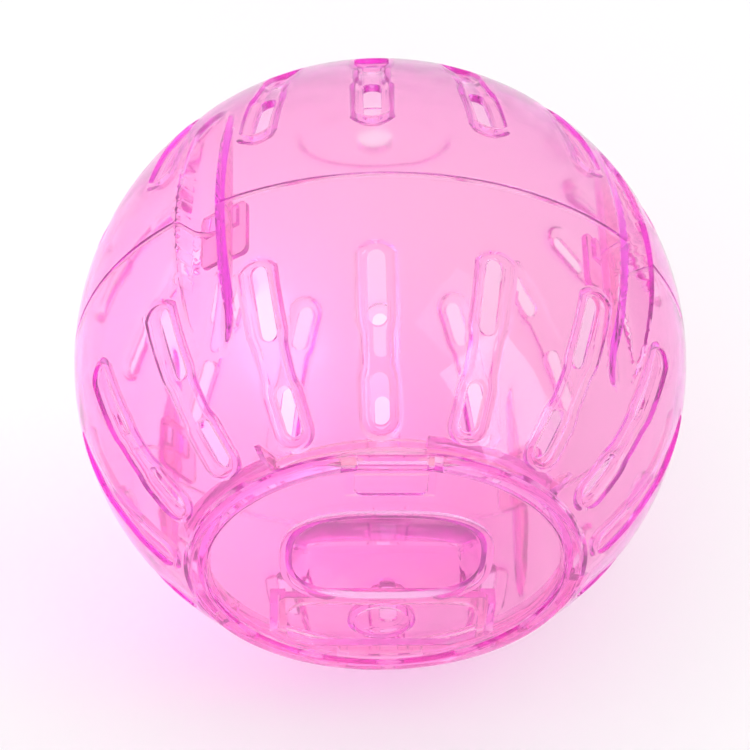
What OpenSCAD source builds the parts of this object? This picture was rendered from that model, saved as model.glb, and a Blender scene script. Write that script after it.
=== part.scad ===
// Small pet exercise ball: two snap-together halves, a twist-in door ring,
// a hinged door with a finger pocket, and a sliding latch.
// The ball's centre is the origin. The door faces -Y, its hinge is at the top (+Z).

/* [Ball] */
// Outer diameter of the ball
ball_d = 120; // [116:1:136]
// Wall thickness of both halves
wall = 1.5; // [1.2:0.1:2]
// Gap between the two halves at the seam
seam_gap = 0.3; // [0.2:0.05:0.6]

/* [Vent slots] */
// Number of slot pairs round each half
slot_pairs = 16; // [8:4:16]
// Turn of the slots and grooves against the door's hinge, counter-clockwise as seen from the door
slot_turn = 3; // [0:0.5:5]
// Width of a slot opening
slot_w = 3.3; // [2.4:0.1:4]
// Latitude, from the seam, where a slot channel starts
channel_from = 14.5; // [13:0.5:17]
// Plain shell between a slot channel and the door opening
channel_gap = 2.8; // [2.5:0.1:5]
// Length of channel floor between the long and the short slot
bridge_l = 8.4; // [6:0.2:12]
// How far the channel is pressed inwards
channel_depth = 1.4; // [0.8:0.1:1.6]
// Rim of channel floor beside a slot
channel_rim = 1.6; // [1.2:0.1:2]
// How much the channel narrows on each side between its two slots
channel_waist = 0.6; // [0.3:0.1:1]

/* [Grip grooves] */
// Width of a grip groove
groove_w = 8; // [6:0.5:10]
// Depth of a grip groove at the seam
groove_depth = 7; // [5:0.5:8]
// Width of the snap tongue behind a groove
tongue_w = 10.8; // [8:0.2:12]
// Height of the snap tongue, half of it on each side of the seam
tongue_h = 12; // [8:0.5:14]
// Thickness of the snap tongue
tongue_t = 1.3; // [1:0.1:2]

/* [Door opening] */
// Radius of the hole through the door ring
opening_r = 34; // [33:0.1:34]
// Width of the ring's flange
flange_w = 3; // [2.8:0.1:3.1]
// How far the flange's flat face stands above the ball's surface at its edge
flange_proud = 0.7665; // [0.6:0.0005:1.2]
// Thickness of the flange
flange_t = 2.8; // [2.6:0.1:3]
// Wall thickness of the ring's collar
collar_t = 1.3; // [1:0.1:1.5]
// Thickness of the tabs in the front half that the ring locks behind
tab_t = 1.5; // [1.2:0.1:2]
// Thickness of the ring's locking lugs
lug_t = 1.5; // [1.2:0.1:2]
// Width of the ledge that the door rests on
ledge_w = 1; // [0.6:0.1:1.2]
// Running clearance between pieces that turn or slide
clearance = 0.3; // [0.2:0.05:0.4]

/* [Door] */
// Thickness of the door
door_t = 1.5; // [1.2:0.1:1.6]
// Width of the finger pocket's mouth
pocket_w = 35.4; // [28:0.2:38]
// Height of the finger pocket's mouth
pocket_h = 27.3; // [20:0.2:28]
// Door left between the pocket's wall and the latch window
pocket_gap = 2.15; // [1.3:0.05:2.5]
// Depth of the finger pocket
pocket_depth = 7.5; // [5:0.5:10]
// Length of the crease along the pocket's deepest line
crease_w = 28; // [20:0.5:30]
// Width of the raised bead round the pocket
bead_w = 2.4; // [1:0.1:2.5]

/* [Hinge] */
// Length of the hinge barrel on the door
barrel_l = 12.6; // [10:0.2:14]
// Radius of the hinge barrel
barrel_r = 1.3; // [1.2:0.05:1.35]
// Radius of the moulded stub pins
stub_r = 0.7; // [0.6:0.05:0.8]
// Width of the stiff left ear
left_ear_w = 2.6; // [2:0.1:3]
// Width of the springy right ear
right_ear_w = 1; // [0.8:0.1:1.5]

/* [Latch] */
// Width of the window that shows the latch plate
window_w = 36.6; // [30:0.2:38]
// Height of the window
window_h = 14.7; // [13:0.1:15]
// Distance from the window's bottom to the ring
window_edge = 6; // [6:0.1:8]
// Thickness of the latch plate
latch_t = 1.5; // [1.2:0.1:1.8]
// Travel of the latch into the ring
latch_travel = 1.8; // [1.2:0.1:2]
// Width of the latch's nose that enters the ring
nose_w = 16; // [10:0.5:20]
// Diameter of the thumb dimple
dimple_d = 10.8; // [8:0.2:12]
// Depth of the thumb dimple
dimple_depth = 1.9; // [1:0.1:2.4]

/* [Rear pole] */
// Diameter of the vent hole
vent_d = 7.8; // [5:0.2:10]
// Width of the shallow oval round the vent hole
oval_w = 31; // [24:0.5:34]
// Height of the shallow oval round the vent hole
oval_h = 20; // [14:0.5:24]
// Depth of the shallow oval
oval_depth = 0.8; // [0.4:0.1:1.2]

/* [Hidden] */
$fn = 96;
// Overrun of every cut, and the overlap of what is fused
over = 0.4;
// Overrun of a cut that ends on a face which stays
short_over = 0.1;
ball_r = ball_d / 2;

// Slot channel, measured on the flat face square to the middle of the channel
land_r = opening_r + flange_w + clearance + wall / 2;
channel_to = acos(land_r / ball_r) - 180 / PI * channel_gap / ball_r;
channel_mid = (channel_from + channel_to) / 2;
channel_half = ball_r * sin((channel_to - channel_from) / 2);
channel_w = slot_w + 2 * channel_rim;
waist_w = channel_w - 2 * channel_waist;
// Arched end of the channel next to the seam
arch_share = 0.25;
arch_rise = arch_share * channel_w;
arch_r = (pow(channel_w / 2, 2) + pow(arch_rise, 2)) / (2 * arch_rise);
end_margin = channel_rim / 2;
low_margin = channel_rim + end_margin / 2;
slots_l = 2 * channel_half - end_margin - low_margin - bridge_l;
long_slot_share = 0.6;
long_slot_l = long_slot_share * slots_l;
short_slot_l = slots_l - long_slot_l;
long_mid = -channel_half + end_margin + long_slot_l / 2;
short_mid = channel_half - low_margin - short_slot_l / 2;

// Grip grooves: four, each midway between two slot channels
groove_count = 4;
groove_turn = slot_turn + 1.5 * 360 / slot_pairs;
groove_axis = ball_r - groove_depth + groove_w / 2;
groove_half_l = sqrt(pow(ball_r, 2) - pow(ball_r - groove_depth, 2)) + over;
tongue_face = ball_r - groove_depth - wall - clearance;
tongue_corner = tongue_t;

// Stack of heights along the ball's axis, towards the door
flange_r = opening_r + flange_w;
flange_face = sqrt(pow(ball_r, 2) - pow(flange_r, 2)) + flange_proud;
tab_top = flange_face - flange_t - clearance / 2;
tab_bottom = tab_top - tab_t;
lug_top = tab_bottom - clearance;
lug_bottom = lug_top - lug_t;
rabbet_r = flange_r + clearance;
land = sqrt(pow(ball_r, 2) - pow(land_r, 2));
collar_r = opening_r + collar_t;
tab_r = collar_r + clearance;
lug_r = flange_r;
// Four tabs, each an eighth of a turn, and the lug and stop inside each
tab_count = 4;
tab_start = 9.5;
tab_turn = 180 / tab_count;
stop_w = 1;
stop_turn = 2 * asin(stop_w / 2 / tab_r);
lug_slack = 2 * asin(clearance / 2 / tab_r);
lug_turn = tab_turn - stop_turn - 4 * lug_slack;
flange_edge = 0.5;

// Door
bead_rise = 0.6;
door_r = opening_r - clearance;
door_face = flange_face - bead_rise;
door_back = door_face - door_t;
ledge_top = door_back - clearance * 2 / 3;
ledge_t = 1;
// The door passes the ring's ledge with all that is behind it
back_r = opening_r - ledge_w - clearance;
hinge_out = 0.9;
hinge_y = opening_r + hinge_out;
barrel_sink = 0.05;
hinge_z = flange_face - barrel_r - barrel_sink;
barrel_gap = clearance;
stub_gap = 0.1;
ear_top_r = barrel_r;
ear_notch_w = barrel_l + 2 * barrel_gap;
leaf_w = 13.4;
leaf_h = 6.6;
leaf_edge = 2.1;
leaf_to = door_r - leaf_edge;
leaf_from = leaf_to - leaf_h;
leaf_depth = 0.6;
leaf_corner = 1.6;
window_bottom = opening_r - window_edge;
window_top = window_bottom - window_h;
pocket_rise = pocket_h / 2 + wall + pocket_gap - window_top;
// Crease of the pocket: this share of half the mouth's height below the middle
crease_share = 0.67;
crease_h = 1.6;
crease_bow = 0.3;
// Angles round the pocket where the crease's upper and lower corners run out to the mouth
corner_high = 25;
corner_low = 40;
// Power of the mouth's outline: 2 is an oval, more is squarer
mouth_power = 2.8;
pocket_steps = 48;

// Latch
plate_gap = clearance * 2 / 3;
plate_face = door_back - plate_gap;
plate_back = plate_face - latch_t;
top_overlap = 1.3;
side_overlap = 1.6;
plate_w = window_w + 2 * side_overlap;
plate_top = window_top - top_overlap;
plate_r = back_r;
nose_r = collar_r - clearance / 2;
window_inset = 1.7;
window_r = plate_r - window_inset;
window_corner = 4;
dimple_drop = 2.2;
dimple_y = (window_top + window_bottom) / 2 + dimple_drop;
dimple_wall = 1.2;
rail_t = 1.5;
rail_lip = 1.5;
rail_start = 0.6;
rail_end = 4;
rail_from = window_top + rail_start;
rail_to = window_bottom - rail_end;
slot_side = 0.4;

// Turns a piece drawn with the door's axis up (+Z) so that the door faces -Y
module door_forward() {
    rotate([90, 0, 0]) children();
}

// Outline of one slot channel, grown by `grow` on every side
module channel_outline(grow = 0) {
    half_w = channel_w / 2 + grow;
    half_waist = waist_w / 2 + grow;
    top = -channel_half + arch_rise;
    low_mid = channel_half - channel_w / 2;
    polygon([
        [-half_w, top], [half_w, top],
        [half_w, long_mid + long_slot_l / 2 - channel_rim],
        [half_waist, long_mid + long_slot_l / 2 + channel_rim],
        [half_waist, short_mid - short_slot_l / 2 - channel_rim / 2],
        [half_w, short_mid - short_slot_l / 2 + channel_rim],
        [half_w, low_mid], [-half_w, low_mid],
        [-half_w, short_mid - short_slot_l / 2 + channel_rim],
        [-half_waist, short_mid - short_slot_l / 2 - channel_rim / 2],
        [-half_waist, long_mid + long_slot_l / 2 + channel_rim],
        [-half_w, long_mid + long_slot_l / 2 - channel_rim]
    ]);
    translate([0, low_mid]) circle(r = half_w);
    intersection() {
        translate([0, -channel_half + arch_r]) circle(r = arch_r + grow);
        translate([-half_w, -channel_half - grow]) square([2 * half_w, arch_rise + grow + over]);
    }
}

// Outline of one slot opening of a given length
module slot_outline(length) {
    for (end = [-1, 1]) translate([0, end * (length - slot_w) / 2]) circle(d = slot_w);
    square([slot_w, length - slot_w], center = true);
}

// Places a flat outline on each slot position of the half, facing outwards
module round_the_half() {
    for (i = [0 : slot_pairs - 1])
        rotate([0, 0, slot_turn + i * 360 / slot_pairs])
            rotate([90 - channel_mid, 0, 180])
                translate([0, 0, ball_r / 2])
                    linear_extrude(height = ball_r)
                        children();
}

// Half-round grip grooves, running straight along the ball's axis
module grooves(grow = 0) {
    for (i = [0 : groove_count - 1])
        rotate([0, 0, groove_turn + i * 360 / groove_count])
            translate([0, groove_axis, 0])
                linear_extrude(height = 2 * (groove_half_l + grow), center = true) {
                    circle(r = groove_w / 2 + grow);
                    translate([-groove_w / 2 - grow, 0]) square([groove_w + 2 * grow, ball_r]);
                }
}

// Ball surface set in by `inset`, with the channels and grooves pressed into it
module pressed_ball(inset) {
    difference() {
        sphere(r = ball_r - inset);
        difference() {
            round_the_half() channel_outline(inset);
            sphere(r = ball_r - inset - channel_depth);
        }
        grooves(inset);
    }
}

// Hollow half of the ball above the seam, with its slots cut
module half_shell() {
    difference() {
        pressed_ball(0);
        pressed_ball(wall);
        round_the_half() {
            translate([0, long_mid]) slot_outline(long_slot_l);
            translate([0, short_mid]) slot_outline(short_slot_l);
        }
        translate([0, 0, seam_gap / 2 - ball_r]) cube(2 * ball_r, center = true);
    }
}

// Pie slice of a ring between two heights, from angle `from` clockwise by `turn`
module ring_slice(inner, outer, bottom, top, from, turn) {
    rotate([0, 0, 90 - from - turn])
        rotate_extrude(angle = turn)
            translate([inner, bottom]) square([outer - inner, top - bottom]);
}

// Tabs that the ring locks behind, each with a stop at its clockwise end
module tabs() {
    intersection() {
        for (i = [0 : tab_count - 1]) {
            from = tab_start + i * 2 * tab_turn;
            ring_slice(tab_r, ball_r, tab_bottom, tab_top, from, tab_turn);
            ring_slice(tab_r, ball_r, lug_bottom, tab_bottom + over, from + tab_turn - stop_turn, stop_turn);
        }
        sphere(r = ball_r - wall / 2);
    }
}

module front_shell() {
    color("hotpink") door_forward() {
        difference() {
            half_shell();
            translate([0, 0, tab_top]) cylinder(r = rabbet_r, h = ball_r);
            translate([0, 0, land]) cylinder(r = ball_r, h = ball_r);
        }
        tabs();
    }
}

// Snap tongue with rounded corners, fused to the rear half below the seam
module tongue() {
    height = tongue_h / 2;
    translate([0, tongue_face - tongue_t, 0])
        rotate([-90, 0, 0]) {
            linear_extrude(height = tongue_t)
                union() {
                    square([tongue_w - 2 * tongue_corner, tongue_h], center = true);
                    square([tongue_w, tongue_h - 2 * tongue_corner], center = true);
                    for (x = [-1, 1], y = [-1, 1])
                        translate([x * (tongue_w / 2 - tongue_corner), y * (height - tongue_corner)])
                            circle(r = tongue_corner);
                }
            translate([-groove_w / 2, seam_gap, tongue_t - over])
                cube([groove_w, height - tongue_corner - seam_gap, over + clearance + wall / 2]);
        }
}

// Shallow oval round the rear pole, between two distances from the ball's centre
module pole_oval(grow, inner_r, outer_r) {
    difference() {
        intersection() {
            translate([0, 0, -ball_r - over]) linear_extrude(height = ball_r / 2)
                oval(oval_w + 2 * grow, oval_h + 2 * grow);
            sphere(r = outer_r);
        }
        sphere(r = inner_r);
    }
}

module rear_shell() {
    color("hotpink") door_forward() {
        difference() {
            union() {
                mirror([0, 0, 1]) half_shell();
                pole_oval(wall, ball_r - wall - oval_depth, ball_r - wall / 2);
            }
            translate([0, 0, -ball_r - over]) cylinder(d = vent_d, h = ball_r / 2);
            pole_oval(0, ball_r - oval_depth, ball_r + over);
        }
        for (i = [0 : groove_count - 1])
            rotate([0, 0, groove_turn + i * 360 / groove_count]) tongue();
    }
}

// Oval outline of a given width and height
module oval(width, height) {
    polygon([for (i = [0 : pocket_steps - 1])
        [width / 2 * cos(i * 360 / pocket_steps), height / 2 * sin(i * 360 / pocket_steps)]]);
}

// Hinge ear from `x` to `x + width`, with a rounded top and its foot at height `foot`
module ear(x, width, foot) {
    translate([x, hinge_y, hinge_z]) rotate([90, 0, 90]) linear_extrude(height = width) {
        circle(r = ear_top_r);
        translate([-ear_top_r, foot - hinge_z]) square([2 * ear_top_r, hinge_z - foot]);
    }
}

module door_ring() {
    ring_bottom = tab_top + clearance / 2;
    ears_w = ear_notch_w + 2 * left_ear_w;
    gap_bottom = ring_bottom - short_over;
    color("deeppink") door_forward() difference() {
        union() {
            difference() {
                rotate_extrude() polygon([
                    [opening_r, lug_bottom], [collar_r, lug_bottom], [collar_r, ring_bottom],
                    [flange_r, ring_bottom], [flange_r, flange_face - flange_edge],
                    [flange_r - flange_edge, flange_face], [opening_r + flange_edge, flange_face],
                    [opening_r, flange_face - flange_edge],
                    [opening_r, ledge_top], [opening_r - ledge_w, ledge_top],
                    [opening_r - ledge_w, ledge_top - ledge_t], [opening_r, ledge_top - ledge_t - ledge_w]
                ]);
                translate([-ears_w / 2, 0, gap_bottom]) cube([ears_w, ball_r, ball_r]);
            }
            for (i = [0 : tab_count - 1])
                ring_slice(collar_r - over, lug_r, lug_bottom, lug_top,
                    tab_start + i * 2 * tab_turn + 3 * lug_slack, lug_turn);
            intersection() {
                union() {
                    ear(-ears_w / 2 - over, left_ear_w + over, ring_bottom - over);
                    ear(ear_notch_w / 2, right_ear_w, ring_bottom - over);
                }
                union() {
                    translate([0, 0, ring_bottom]) cylinder(r = lug_r, h = ball_r);
                    translate([0, 0, ring_bottom - over]) cylinder(r = collar_r - over, h = ball_r);
                }
            }
        }
        translate([-ball_r / 2, hinge_y, hinge_z]) rotate([0, 90, 0])
            cylinder(r = stub_r + stub_gap, h = ball_r);
        translate([-ear_notch_w / 2, 0, gap_bottom]) cube([ear_notch_w, ball_r, ball_r]);
        translate([-nose_w / 2 - slot_side, -collar_r - clearance, plate_back - clearance])
            cube([nose_w + 2 * slot_side, 2 * ledge_w + collar_t + clearance, latch_t + 2 * clearance]);
    }
}

// Points of the pocket's mouth, an oval with fuller corners, grown by `grow`, at height `z`
function mouth_points(grow, z) = [for (i = [0 : pocket_steps - 1])
    let (c = cos(i * 360 / pocket_steps), s = sin(i * 360 / pocket_steps))
    [(pocket_w / 2 + grow) * sign(c) * pow(abs(c), 2 / mouth_power),
     (pocket_h / 2 + grow) * sign(s) * pow(abs(s), 2 / mouth_power), z]];

// Points of the pocket's crease, a slim rectangle with bowed sides, with as many points as the mouth
function crease_points(grow, z) = [for (i = [0 : pocket_steps - 1])
    let (a = i * 360 / pocket_steps, corner = a < 180 ? corner_high : corner_low,
        across = max(-1, min(1, cos(a) / cos(corner))), up = max(-1, min(1, sin(a) / sin(corner))))
    [across * (crease_w / 2 + grow + crease_bow * (1 - up * up)),
     up * (crease_h / 2 + grow + crease_bow * (1 - across * across)) - crease_share * pocket_h / 2, z]];

// Finger pocket: a scoop from its low crease up to its mouth, then straight up to `top`
module pocket_body(grow, top) {
    n = pocket_steps;
    points = concat(
        crease_points(grow, door_face - pocket_depth - grow),
        mouth_points(grow, door_face - grow / 2),
        mouth_points(grow, top));
    sides = [for (ring = [0, n], i = [0 : n - 1], half = [0, 1])
        let (a = ring + i, b = ring + (i + 1) % n)
        half == 0 ? [a, a + n, b + n] : [a, b + n, b]];
    polyhedron(points, concat([[for (i = [0 : n - 1]) i]], [[for (i = [0 : n - 1]) 3 * n - 1 - i]], sides));
}

// Window over the latch, rounded at the top and kept inside the door's edge
module window_outline() {
    intersection() {
        union() {
            translate([-window_w / 2, -window_bottom])
                square([window_w, window_bottom - window_top - window_corner]);
            translate([window_corner - window_w / 2, -window_bottom])
                square([window_w - 2 * window_corner, window_bottom - window_top]);
            for (side = [-1, 1])
                translate([side * (window_w / 2 - window_corner), -window_top - window_corner])
                    circle(r = window_corner);
        }
        circle(r = window_r);
    }
}

// Shallow recess in front of the hinge, rounded at its lower corners
module leaf_outline() {
    low = leaf_from + leaf_corner;
    side = leaf_w / 2 - leaf_corner;
    translate([-leaf_w / 2, low]) square([leaf_w, leaf_to - low]);
    translate([-side, leaf_from]) square([2 * side, leaf_to - leaf_from]);
    for (x = [-side, side]) translate([x, low]) circle(r = leaf_corner);
}

// Rail behind the door that one edge of the latch plate slides in
module rail() {
    lip_top = plate_back - clearance;
    translate([plate_w / 2 + clearance, -rail_to, lip_top - rail_t])
        cube([rail_t, rail_to - rail_from, door_back + over - lip_top + rail_t]);
    translate([plate_w / 2 + clearance - rail_lip, -rail_to, lip_top - rail_t])
        cube([rail_lip + over, rail_to - rail_from, rail_t]);
}

// What stands out behind the door: pocket body, backing of the leaf, latch rails
module behind_door() {
    intersection() {
        union() {
            translate([0, pocket_rise, 0]) pocket_body(wall, door_face + over);
            translate([-leaf_w / 2 - wall, leaf_from - wall, door_back - leaf_depth])
                cube([leaf_w + 2 * wall, leaf_to - leaf_from + wall, leaf_depth + over]);
            rail();
            mirror([1, 0, 0]) rail();
        }
        translate([0, 0, door_face - ball_r]) cylinder(r = back_r, h = ball_r);
    }
}

module door() {
    color("hotpink") door_forward() difference() {
        union() {
            translate([0, 0, door_back]) cylinder(r = door_r, h = door_t);
            // Hinge arm, barrel and stub pins
            translate([-barrel_l / 2, leaf_to, door_back]) cube([barrel_l, hinge_y - leaf_to, door_t]);
            translate([-barrel_l / 2, hinge_y, hinge_z]) rotate([0, 90, 0])
                cylinder(r = barrel_r, h = barrel_l);
            translate([-barrel_l / 2 - barrel_gap - left_ear_w, hinge_y, hinge_z]) rotate([0, 90, 0])
                cylinder(r = stub_r, h = left_ear_w + barrel_l + 2 * barrel_gap + right_ear_w);
            // Bead round the pocket
            translate([0, pocket_rise, door_face - over]) linear_extrude(height = bead_rise + over)
                polygon([for (point = mouth_points(bead_w, 0)) [point[0], point[1]]]);
            behind_door();
        }
        translate([0, pocket_rise, 0]) pocket_body(0, flange_face + over);
        translate([0, 0, door_face - leaf_depth]) linear_extrude(height = ball_r) leaf_outline();
        translate([0, 0, door_back - over]) linear_extrude(height = ball_r) window_outline();
    }
}

// Outline of the latch plate with its nose, inside the door ring when it is pushed home
module latch_outline() {
    intersection() {
        translate([-plate_w / 2, -ball_r]) square([plate_w, ball_r - plate_top]);
        translate([0, latch_travel]) circle(r = plate_r);
    }
    intersection() {
        translate([-nose_w / 2, -ball_r]) square([nose_w, ball_r - window_bottom]);
        translate([0, latch_travel]) circle(r = nose_r);
    }
}

module latch() {
    color("deeppink") door_forward() difference() {
        union() {
            translate([0, 0, plate_back]) linear_extrude(height = latch_t) latch_outline();
            translate([0, -dimple_y, plate_face - dimple_depth - dimple_wall])
                cylinder(d = dimple_d + 2 * dimple_wall, h = dimple_depth);
        }
        translate([0, -dimple_y, plate_face - dimple_depth]) cylinder(d = dimple_d, h = ball_r);
    }
}

front_shell();
rear_shell();
door_ring();
door();
latch();
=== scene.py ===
import math

import bmesh
import bpy
import numpy as np
from mathutils import Matrix, Vector


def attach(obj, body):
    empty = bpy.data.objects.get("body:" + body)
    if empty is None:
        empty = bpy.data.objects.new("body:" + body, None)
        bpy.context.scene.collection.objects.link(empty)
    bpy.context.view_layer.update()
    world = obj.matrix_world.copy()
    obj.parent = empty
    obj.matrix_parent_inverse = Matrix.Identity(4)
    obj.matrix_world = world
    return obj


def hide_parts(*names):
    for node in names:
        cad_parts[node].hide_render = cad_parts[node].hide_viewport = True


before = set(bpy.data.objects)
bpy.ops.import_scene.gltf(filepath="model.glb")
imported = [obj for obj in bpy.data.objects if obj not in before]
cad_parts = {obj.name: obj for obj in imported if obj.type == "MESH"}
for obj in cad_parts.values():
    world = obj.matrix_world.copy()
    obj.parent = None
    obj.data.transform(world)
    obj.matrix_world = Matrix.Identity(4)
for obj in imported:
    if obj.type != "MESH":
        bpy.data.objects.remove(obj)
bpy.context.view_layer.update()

# Pieces are drawn in millimetres with the door's axis up (+Z) and its hinge towards +Y.
# A finished piece is turned so that the door faces -Y and the hinge is on top, in metres.
TO_FRAME = Matrix.Scale(0.001, 4) @ Matrix.Rotation(math.pi / 2, 4, "X")

# Overlap of what is fused, and gap between pieces that move
OVER = 0.4
CLEARANCE = 0.3

# Reach of a tool past what it meets, past a face that stays, and a hair's breadth
PAST = 1
SHORT_OVER = 0.1
HAIR = 0.01

# Roundings of edges, from the stub pins to the ring's rim
PIN_ROUND = 0.15
EAR_ROUND = 0.18
FINE_ROUND = 0.2
SMALL_ROUND = 0.25
EDGE_ROUND = 0.3
DOOR_ROUND = 0.4
FLANGE_ROUND = 0.6
QUARTER = [math.radians(a) for a in (0, 30, 60, 90)]

# Distances under which points are merged, and the edge too short to keep
SPIN_WELD = 0.0005
LOFT_WELD = 0.002
SHORTEST_EDGE = 0.001

# Ball
BALL_R = 60
WALL = 1.5
SEAM_GAP = 0.3
SEAM_ROUND = 0.3

# Vent slots, in channels pressed into the shell, turned SLOT_TURN degrees anticlockwise
SLOT_PAIRS = 16
SLOT_TURN = 3
SLOT_W = 3.3
CHANNEL_DEPTH = 1.4
CHANNEL_W = 6.5
WAIST_W = 5.3
LAND_R = 38.05
CHANNEL_FROM = math.radians(14.5)
CHANNEL_GAP = 2.8
CHANNEL_TO = math.acos(LAND_R / BALL_R) - CHANNEL_GAP / BALL_R
CHANNEL_MID = (CHANNEL_FROM + CHANNEL_TO) / 2
CHANNEL_HALF = BALL_R * math.sin((CHANNEL_TO - CHANNEL_FROM) / 2)
ARCH_RISE = 0.25 * CHANNEL_W
ARCH_R = ((CHANNEL_W / 2) ** 2 + ARCH_RISE**2) / (2 * ARCH_RISE)
LOW_MID = CHANNEL_HALF - CHANNEL_W / 2
LONG_SLOT = 14.04
LONG_END_GAP = 0.8
SHORT_SLOT = 9.36
SHORT_END_GAP = 2
LONG_MID = -CHANNEL_HALF + LONG_END_GAP + LONG_SLOT / 2
SHORT_MID = CHANNEL_HALF - SHORT_END_GAP - SHORT_SLOT / 2
NECK_IN = 3.2
NECK_OUT = 2.8
NECK_LEAD = 1.2
CHANNEL_INMOST = -2.4
COVE = 1.3
SKIN_SPREAD = 1.2
SKIN_INSET = 0.8
SKIN_START = 0.06
RIM_ROUND = 0.12
SLOT_ROUND = 0.25

# Grip grooves across the seam, with their turns in degrees, and the snap tongues behind them
GROOVE_COUNT = 4
GROOVE_TURNS = [-1.5 * 360 / SLOT_PAIRS - SLOT_TURN + 360 / GROOVE_COUNT * i for i in range(GROOVE_COUNT)]
GROOVE_R = 4
GROOVE_DEPTH = 7
GROOVE_AXIS = BALL_R - GROOVE_DEPTH + GROOVE_R
GROOVE_DRAFT = 7
GROOVE_BEND = 0.94
GROOVE_BLEND = 0.5
GROOVE_ROOM = 3
GROOVE_EDGE = 0.75
TONGUE_FACE = 51.2
TONGUE_T = 1.3
TONGUE_W = 10.8
TONGUE_H = 12

# Door opening: heights along the axis, radii round it, and tabs, stops and slack in degrees
OPENING_R = 34
FLANGE_R = 37
FLANGE_FACE = 48
RING_BOTTOM = 45.2
RABBET_R = 37.3
LAND = 46.4
TAB_TOP = 45.05
TAB_BOTTOM = 43.55
TAB_R = 35.6
LUG_TOP = 43.25
LUG_BOTTOM = 41.75
COLLAR_R = 35.3
LEDGE_TOP = 45.7
LEDGE_W = 1
TAB_COUNT = 4
TAB_TURN = 45
TAB_START = 9.5
STOP_TURN = 1.61
LUG_SLACK = 0.24

# Door, hinge and latch
DOOR_R = 33.7
DOOR_FACE = 47.4
DOOR_BACK = 45.9
BACK_R = 32.7
HINGE_Y = 34.9
HINGE_Z = 46.65
BARREL_R = 1.3
BARREL_L = 12.6
STUB_R = 0.7
STUB_GAP = 0.1
EAR_NOTCH = 13.2
LEFT_EAR = 2.6
RIGHT_EAR = 1
LEAF_W = 13.4
LEAF_FROM = 25
LEAF_TO = 31.6
LEAF_CORNER = 1.6
LEAF_DEPTH = 0.6
POCKET_W = 35.4
POCKET_H = 27.3
POCKET_RISE = 4
POCKET_DEPTH = 7.5
MOUTH_POWER = 2.8
CREASE_W = 28
CREASE_H = 1.6
CREASE_BOW = 0.3
CREASE_DROP = 0.67 * POCKET_H / 2
CREASE_SOFT = 0.03
CORNER_HIGH = math.radians(25)
CORNER_LOW = math.radians(40)
BEAD_W = 2.4
BEAD_RISE = 0.6
WINDOW_W = 36.6
WINDOW_TOP = 13.3
WINDOW_BOTTOM = 28
WINDOW_ROUND = 4
WINDOW_CORNER = 1
WINDOW_R = 31
RAIL_FROM = 13.9
RAIL_TO = 24
PLATE_W = 39.8
PLATE_TOP = 12
PLATE_FACE = 45.7
PLATE_BACK = 44.2
PLATE_ROUND = 1.5
LATCH_TRAVEL = 1.8
NOSE_W = 16
NOSE_R = 35.15
NOSE_GAP = 0.4
DIMPLE_R = 5.4
DIMPLE_Y = 22.85
DIMPLE_DEPTH = 1.9
DIMPLE_WALL = 1.2
DIMPLE_ROUND = 1
CUP_ROUND = 0.8

# Rear pole
VENT_R = 3.9
OVAL_W = 31
OVAL_H = 20
OVAL_DEPTH = 0.8
OVAL_INMOST = -9

# Shading: the angle between faces that stays crisp, and what counts as lying on a sphere
SHARP_ANGLE = math.radians(35)
SPHERE_MARGIN = 0.03
SPHERE_LEAN = 0.9

# Clear plastic, with the depth of its waves and the run to the softer rear in metres
DYE = (1.0, 0.0, 0.985)
SHADE_TINT = (0.998, 0.975, 0.993)
REFRACTION = 1.28
HAZE = 0.06
SHELL_TINT = (0.998, 0.86, 0.865)
SHELL_DENSITY = 135
SHELL_SOFT = 0.12
DOOR_TINT = (0.998, 0.88, 0.875)
DOOR_DENSITY = 120
GLOSS = 0.05
SCUFF = 0.05
WAVE_STRENGTH = 0.35
WAVE_DEPTH = 0.0004
REAR_FROM = 0
REAR_TO = 0.02
REAR_SWELL = 2.5

# Camera and studio, in metres and watts, with the lens in millimetres
CAMERA_RISE = math.radians(54.3)
CAMERA_ROLL = math.radians(1.5)
CAMERA_TURN = math.radians(2.76)
CAMERA_DISTANCE = 0.6396
CAMERA_LENS = 156
CAMERA_SHIFT = (-0.0071, -0.0144)
FLOOR_HEIGHT = -0.06
FLOOR_REACH = 3
FLOOR_WHITE = (0.94, 0.94, 0.94, 1)
KEY_PLACE = (0.5, -0.3, 0.9)
KEY_SIZE = (0.5, 0.5)
KEY_POWER = 1.5
GLEAM_PLACE = (0.79, -0.68, 0.59)
GLEAM_SIZE = (0.6, 0.85)
GLEAM_POWER = 14
BOUNCES = 32


def round_corner(here, before, after, radius, steps):
    """Points of the arc that rounds one corner of an outline."""
    to_before = (before - here).normalized()
    to_after = (after - here).normalized()
    half = to_before.angle(to_after) / 2
    sweep = math.pi - 2 * half
    centre = here + (to_before + to_after).normalized() * radius / math.sin(half)
    start = here + to_before * radius / math.tan(half) - centre
    end = here + to_after * radius / math.tan(half) - centre
    points = []
    for k in range(steps + 1):
        share = k / steps
        blend = start * math.sin((1 - share) * sweep) + end * math.sin(share * sweep)
        points.append(tuple(centre + blend / math.sin(sweep)))
    return points


def rounded(corners, steps=4):
    """Closed outline through corners (x, y, radius), each one rounded by its radius."""
    outline = []
    for i, (x, y, radius) in enumerate(corners):
        if radius == 0:
            outline.append((x, y))
            continue
        before = Vector(corners[i - 1][:2])
        after = Vector(corners[(i + 1) % len(corners)][:2])
        outline += round_corner(Vector((x, y)), before, after, radius, steps)
    return outline


def arc(middle, radius, start, end, steps):
    """Points on an arc, from one angle to another in degrees."""
    return [(middle[0] + radius * math.cos(math.radians(a)), middle[1] + radius * math.sin(math.radians(a)))
            for a in np.linspace(start, end, steps + 1)]


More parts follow.
